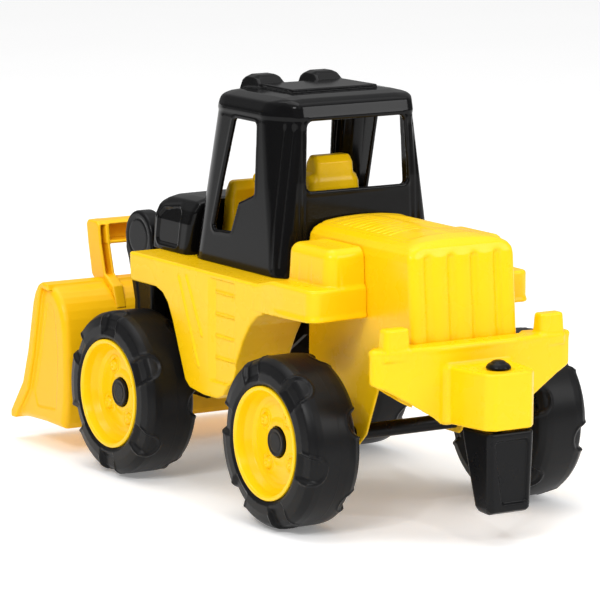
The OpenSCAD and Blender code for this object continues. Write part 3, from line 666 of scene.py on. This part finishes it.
add("hitch_moulding", f_block, (-167, -26, 26), (-118, 26, 104), "black_satin", SATIN, ["hitch_block"], "hitch")


def f_pin(x, y, z):
    r = np.hypot(x - HITX, y)
    dome = rint(np.sqrt(r ** 2 + (z - 148.1) ** 2) - 13, 153.3 - z, 0.5)
    dome = rint(dome, r - 11.3, 0.8)
    dome = dome + 0.5 * np.exp(-((r - 7.2) / 1.0) ** 2)
    stem = rint(r - 5, slab(z, 87, 155), 0.4)
    return runi(dome, stem, 0.3)


add("pin_moulding", f_pin, (-157, 0, 86), (-129, 13, 163), "black_satin", SATIN, ["hitch_pin"], "hitch", mirror=True, h=0.7)


# ------------------------------------------------------------------ wheels (built about their own axle, shared by all four)
W = TY1 - TY0
PROF = [(HR + 0.3, 12), (40, 6.5), (24, 6.5), (22, 3.5), (11, 3.5), (11, 0.2), (24, 0.2), (27, 3), (44, 3), (TR - 15, 0.3), (TR - 6, 3), (TR - 1.4, 8.5), (TR, 16),
        (TR, W - 15), (TR - 1.4, W - 8), (TR - 6.5, W - 2.6), (TR - 15, W - 0.4), (HR + 4, W), (HR + 0.3, W - 2)]


def f_tyre(x, y, z):
    r = np.hypot(x, z)
    th = np.arctan2(z, x)
    base = polyr(PROF, r, y, 0.6)
    base = rint(base, r - TR, 6)
    d = base
    for k, (ph, ynose, sgn) in enumerate(((math.radians(10), W - 17.5, 1), (math.radians(40), 15.0, -1))):
        p = math.pi / 3
        t = (th - ph) / p
        u = (t - np.round(t)) * p * np.maximum(r, 50) * 0.98
        v = (y - ynose) * sgn                   # grows towards the sidewall from the nose
        half = 10.2 + 0.12 * np.clip(v, 0, 20)
        pk = np.where(v > half, np.abs(u) - half, np.hypot(u, v - half) - half) if False else np.maximum(np.abs(u) - half, -99)
        cap = np.hypot(u, np.minimum(v - 9.0, 0) * 1.15) - half
        pk = np.where(v < 9.0, cap, np.abs(u) - half)
        inner = 1 - sm(r, TR - 24, TR - 16)     # fades out down the sidewall
        depth = 3.9 * (0.45 + 0.55 * sm(v, 2, 16))
        step = 1 - sm(pk, -2.6, 0.3)
        d = d + depth * step * (1 - inner)
        # bead along the pocket's edge
        d = d - 0.95 * np.exp(-((pk - 1.3) / 1.2) ** 2) * sm(r, TR - 17, TR - 12) * (v > -9)
    hol = polyr([(HR + 0.3, 15), (TR - 14, 5), (TR - 9, 7), (TR - 7.5, 12), (TR - 7.5, W - 19), (TR - 12, W - 9), (TR - 20, W - 6), (HR + 4.6, W - 6), (HR + 4.2, 18)], r, y, 1)
    return np.maximum(d, -hol)


def f_hub(x, y, z):
    r = np.hypot(x, z)
    th = np.arctan2(z, x)
    pr = [(11, 28), (HR - 6, 28), (HR - 0.2, 28), (HR - 0.2, W - 0.8), (HR - 1.0, W - 0.3), (HR - 3.4, W - 0.3), (HR - 4.4, W - 1.4), (HR - 6.2, W - 8.5), (HR - 9.5, W - 14.6),
          (HR - 13, W - 16.6), (34, W - 17.2), (22, W - 16.8), (18, W - 15.6), (CAPR + 0.7, W - 15.0), (CAPR + 0.7, 30)]
    d = polyr(pr, r, y, 0.5)
    p = math.pi / 2
    t = (th - math.radians(38)) / p
    a = (t - np.round(t)) * p
    u, v = r * np.sin(a), r * np.cos(a) - 27.0
    q = np.hypot(u, v)
    # shallow ring round each nut
    d = d - 0.7 * np.exp(-((q - 8.6) / 1.1) ** 2) * sm(y, W - 20, W - 17)
    nut = rint(np.hypot(q, np.maximum(y - (W - 16.5), 0) * 1.35) - 5.6, y - (W - 12.4), 1.0)
    d = runi(d, np.maximum(nut, 36 - y), 0.8)
    d = rdif(d, np.maximum(q - 2.1, (W - 13.6) - y), 0.5)
    return d


def f_cap(x, y, z):
    r = np.hypot(x, z)
    top = CAPY - TY0
    d = rint(r - CAPR + 0.15, slab(y, top - 7, top), 1.1)
    return d + 0.35 * np.exp(-((r - 9.5) / 0.9) ** 2) * sm(y, top - 1.5, top - 0.5)


WHEEL = []
for nm, f, lo, hi, slotn, mat, hh in (
        ("tyre", f_tyre, (-TR, 0, -TR), (TR, W, TR), "tyre_black", TYRE, 1.1),
        ("hub", f_hub, (-HR, 27, -HR), (HR, W, HR), "hub_yellow", HUBY, 0.75),
        ("cap", f_cap, (-CAPR, CAPY - TY0 - 8, -CAPR), (CAPR, CAPY - TY0, CAPR), "black_satin", SATIN, 0.75)):
    P, N, Q = nets(f, lo, hi, H * hh)
    WHEEL.append((nm, P, N, Q, slotn, mat))

for axle, cx, turn in (("rear", 0.0, 0.0), ("front", WB, math.radians(22))):
    c, s = math.cos(turn), math.sin(turn)
    rot = np.array([[c, 0, s], [0, 1, 0], [-s, 0, c]])        # turns from +x towards +z
    for side, sg in (("left", 1), ("right", -1)):
        for nm, P, N, Q, slotn, mat in WHEEL:
            if sg > 0 or nm == "cap":
                pass
            R = P @ rot; M = N @ rot
            R = R + [cx, TY0, AZ]
            ob = make(f"{nm}_shape_{axle}_{side}", R, M, Q, slotn, mat, flip_y=sg < 0)
            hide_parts(f"{nm}_{axle}_{side}")
            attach(ob, "chassis" if nm == "cap" else f"wheel_{axle}_{side}")

# ------------------------------------------------------------------ CAD pieces that are shown as they are
for n, mat in (("front_wall", YEL), ("interior_floor", YEL), ("chassis_frame", SATIN), ("front_axle_sleeve", SATIN), ("rear_axle_sleeve", SATIN),
               ("front_axle_rod", STEEL), ("rear_axle_rod", STEEL), ("arm_pivot_pin", STEEL), ("bucket_pivot_pin", STEEL), ("body_screws", STEEL)):
    o = NODES[n]
    o.data.materials.clear(); o.data.materials.append(mat)
    bv = o.modifiers.new("edge", "BEVEL")
    bv.width = 0.0006; bv.segments = 2; bv.limit_method = "ANGLE"; bv.angle_limit = math.radians(40)

# ------------------------------------------------------------------ floor, world, lights
fm = bpy.data.materials.new("m_floor"); fm.use_nodes = True
fb = fm.node_tree.nodes["Principled BSDF"]
fn = fm.node_tree.nodes.new("ShaderNodeTexNoise"); fn.inputs["Scale"].default_value = 3.0
fc = fm.node_tree.nodes.new("ShaderNodeValToRGB")
fc.color_ramp.elements[0].color = (0.93, 0.93, 0.93, 1); fc.color_ramp.elements[1].color = (0.95, 0.95, 0.95, 1)
ft = fm.node_tree.nodes.new("ShaderNodeTexCoord")
fm.node_tree.links.new(ft.outputs["Object"], fn.inputs["Vector"])
fm.node_tree.links.new(fn.outputs["Fac"], fc.inputs[0]); fm.node_tree.links.new(fc.outputs[0], fb.inputs["Base Color"])
fb.inputs["Roughness"].default_value = 0.75
fm.node_tree.links.new(fc.outputs[0], fb.inputs["Emission Color"]); fb.inputs["Emission Strength"].default_value = 0.22
me = bpy.data.meshes.new("floor")
s = 14.0
me.from_pydata([(-s, -s, -0.0002), (s, -s, -0.0002), (s, s, -0.0002), (-s, s, -0.0002)], [], [(0, 1, 2, 3)])
me.materials.append(fm)
floor = bpy.data.objects.new("floor", me)
bpy.context.scene.collection.objects.link(floor)

w = bpy.data.worlds.new("studio"); bpy.context.scene.world = w
w.use_nodes = True
wt = w.node_tree
wc = wt.nodes.new("ShaderNodeTexCoord")
wx = wt.nodes.new("ShaderNodeSeparateXYZ")
wr = wt.nodes.new("ShaderNodeValToRGB")
wt.links.new(wc.outputs["Generated"], wx.inputs[0])
wt.links.new(wx.outputs[2], wr.inputs[0])
wr.color_ramp.elements[0].position = 0.0; wr.color_ramp.elements[0].color = (0.22, 0.22, 0.22, 1)
wr.color_ramp.elements[1].position = 0.85; wr.color_ramp.elements[1].color = (1.0, 1.0, 1.0, 1)
wt.links.new(wr.outputs[0], wt.nodes["Background"].inputs[0])
wt.nodes["Background"].inputs[1].default_value = 0.72


def area(name, loc, target, size, power, col=(1, 1, 1), sy=None):
    l = bpy.data.lights.new(name, "AREA"); l.energy = power; l.size = size; l.color = col
    if sy:
        l.shape = "RECTANGLE"; l.size_y = sy
    o = bpy.data.objects.new(name, l); o.location = loc
    o.rotation_euler = (Vector(target) - Vector(loc)).to_track_quat("-Z", "Y").to_euler()
    bpy.context.scene.collection.objects.link(o)
    return o


area("key", (-2.2, 2.6, 2.6), (0, 0, 0.15), 1.1, 45)
area("fill", (-2.6, -1.8, 1.6), (0, 0, 0.15), 1.2, 25)
area("top", (0.2, 0.3, 3.0), (0, 0, 0.1), 2.0, 26)
area("dot_left", (-1.4, 2.4, 2.2), (0, 0, 0.25), 0.12, 14)
area("dot_rear", (-2.6, 0.4, 2.4), (0, 0, 0.25), 0.12, 11)
sd = bpy.data.lights.new("sun", "SUN"); sd.energy = 0.5; sd.angle = math.radians(60)
so = bpy.data.objects.new("sun", sd); so.rotation_euler = (math.radians(12), math.radians(-10), 0)
bpy.context.scene.collection.objects.link(so)

# ------------------------------------------------------------------ camera
cam_d = bpy.data.cameras.new("camera")
cam_d.sensor_width = 36.0; cam_d.lens = 247.92
cam_d.clip_start = 0.1; cam_d.clip_end = 60
cam = bpy.data.objects.new("camera", cam_d)
bpy.context.scene.collection.objects.link(cam)
Bk = Vector((-0.83026, 0.53200, 0.16625)).normalized()
Rt = Vector((0, 0, 1)).cross(Bk).normalized()
Up = Bk.cross(Rt)
rl = math.radians(0.22)
R2 = Rt * math.cos(rl) + Up * math.sin(rl)
U2 = -Rt * math.sin(rl) + Up * math.cos(rl)
mw = Matrix((R2, U2, Bk)).transposed().to_4x4()
mw.translation = Vector((-3.1560, 2.0352, 0.8033))
cam.matrix_world = mw
bpy.context.scene.camera = cam
bpy.context.scene.view_settings.view_transform = "Standard"
